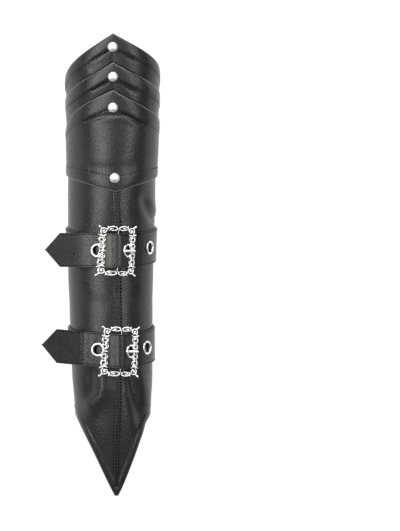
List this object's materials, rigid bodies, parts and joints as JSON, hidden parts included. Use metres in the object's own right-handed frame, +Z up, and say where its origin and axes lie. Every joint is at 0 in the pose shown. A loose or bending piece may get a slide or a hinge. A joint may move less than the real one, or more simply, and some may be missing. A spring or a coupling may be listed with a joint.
{
  "type": "leather gauntlet",
  "caption": "Black leather forearm gauntlet with peaked, riveted cuff plates, a point over the back of the hand and buckled straps round the sleeve.",
  "frame": {"origin": "middle of the gauntlet's box, on the surface that its flattened back lies on", "axes": "+Y along the arm to the elbow, +Z up out of the front of the arm, +X to the right seen from the front with the elbow up"},
  "size_m": [0.1032, 0.4006, 0.0758],
  "materials": {
    "black_leather": "semi-gloss, fine pebble grain",
    "strap_leather": "satin, fine grain",
    "nickel": "cast and polished"
  },
  "bodies": {
    "root": {"sleeve": "black_leather", "cuff_lame_top": "black_leather", "cuff_lame_middle": "black_leather", "cuff_panel": "black_leather", "rivet_top": "nickel", "rivet_middle": "nickel", "rivet_lower": "nickel", "rivet_panel": "nickel", "upper_strap": "strap_leather", "upper_buckle": "nickel", "upper_prong": "nickel", "upper_eyelet_1": "nickel", "upper_eyelet_2": "nickel", "upper_eyelet_3": "nickel", "lower_strap": "strap_leather", "lower_buckle": "nickel", "lower_prong": "nickel", "lower_eyelet_1": "nickel", "lower_eyelet_2": "nickel", "lower_eyelet_3": "nickel"}
  },
  "joints": []
}
